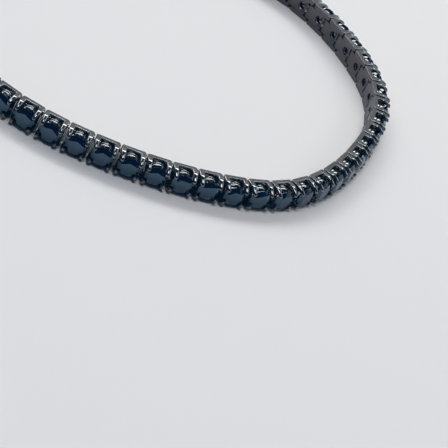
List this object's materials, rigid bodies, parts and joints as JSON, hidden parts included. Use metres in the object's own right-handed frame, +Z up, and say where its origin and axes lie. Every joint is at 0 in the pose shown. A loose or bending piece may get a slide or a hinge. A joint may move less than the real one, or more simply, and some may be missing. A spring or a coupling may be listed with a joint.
{
  "type": "tennis bracelet",
  "caption": "Closed bracelet of square four-prong links, each holding a round faceted dark stone, hinged to each other and joined by a plain box clasp, lying on its edge.",
  "frame": {"origin": "The middle of the bracelet's footprint on the floor it lies on.", "axes": "+Z is up, across the bracelet's narrow height. X and Y lie in the plane of the loop. The stones face outward from the loop."},
  "size_m": [0.0592, 0.0612, 0.0032],
  "materials": {
    "dark_metal": "polished gunmetal plating",
    "black_stone": "polished facets"
  },
  "bodies": {
    "root": {"link_01": "dark_metal", "link_02": "dark_metal", "link_03": "dark_metal", "link_04": "dark_metal", "link_05": "dark_metal", "link_06": "dark_metal", "link_07": "dark_metal", "link_08": "dark_metal", "link_09": "dark_metal", "link_10": "dark_metal", "link_11": "dark_metal", "link_12": "dark_metal", "link_13": "dark_metal", "link_14": "dark_metal", "link_15": "dark_metal", "link_16": "dark_metal", "link_17": "dark_metal", "link_18": "dark_metal", "link_19": "dark_metal", "link_20": "dark_metal", "link_21": "dark_metal", "link_22": "dark_metal", "link_23": "dark_metal", "link_24": "dark_metal", "link_25": "dark_metal", "link_26": "dark_metal", "link_27": "dark_metal", "link_28": "dark_metal", "link_29": "dark_metal", "link_30": "dark_metal", "link_31": "dark_metal", "link_32": "dark_metal", "link_33": "dark_metal", "link_34": "dark_metal", "link_35": "dark_metal", "link_36": "dark_metal", "link_37": "dark_metal", "link_38": "dark_metal", "link_39": "dark_metal", "link_40": "dark_metal", "link_41": "dark_metal", "link_42": "dark_metal", "link_43": "dark_metal", "link_44": "dark_metal", "link_45": "dark_metal", "link_46": "dark_metal", "link_47": "dark_metal", "link_48": "dark_metal", "link_49": "dark_metal", "link_50": "dark_metal", "clasp": "dark_metal"}
  },
  "joints": []
}
